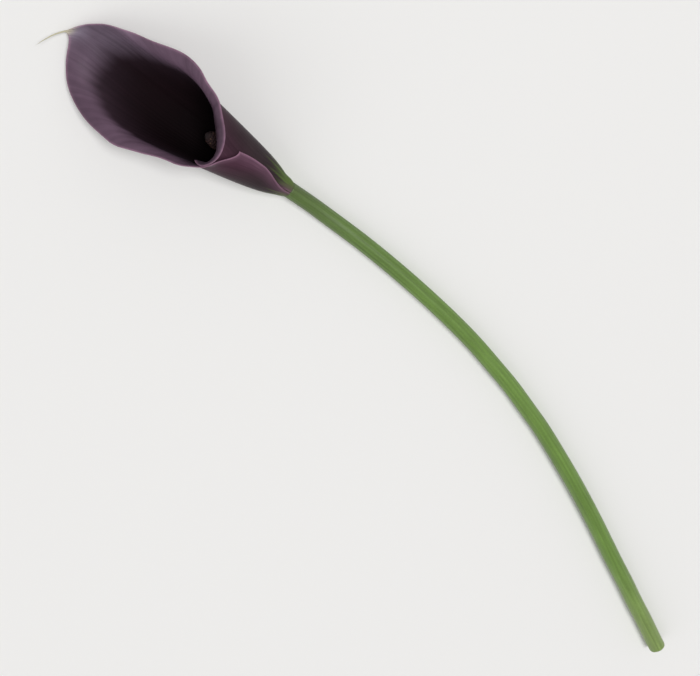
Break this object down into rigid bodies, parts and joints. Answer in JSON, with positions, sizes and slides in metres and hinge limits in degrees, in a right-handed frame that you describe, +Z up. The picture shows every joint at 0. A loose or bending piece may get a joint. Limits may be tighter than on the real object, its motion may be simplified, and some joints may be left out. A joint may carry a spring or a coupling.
{
  "type": "arum lily flower",
  "caption": "Cut arum lily flower lying on its back: a dark aubergine spathe rolled into a funnel with a thin tail, the spadix inside it, and a smooth green stalk.",
  "frame": {"origin": "middle of the underside of the whole flower as it lies, on the surface that it lies on", "axes": "+X along the flower from the cut end of the stalk to the tail of the spathe, +Z up from the surface, +Y to the left seen along +X"},
  "size_m": [0.5692, 0.086, 0.0492],
  "materials": {
    "stalk": "satin",
    "spathe": "satin",
    "spadix": "matte"
  },
  "bodies": {
    "root": {"scape": "stalk", "spathe": "spathe", "spadix": "spadix"}
  },
  "joints": []
}
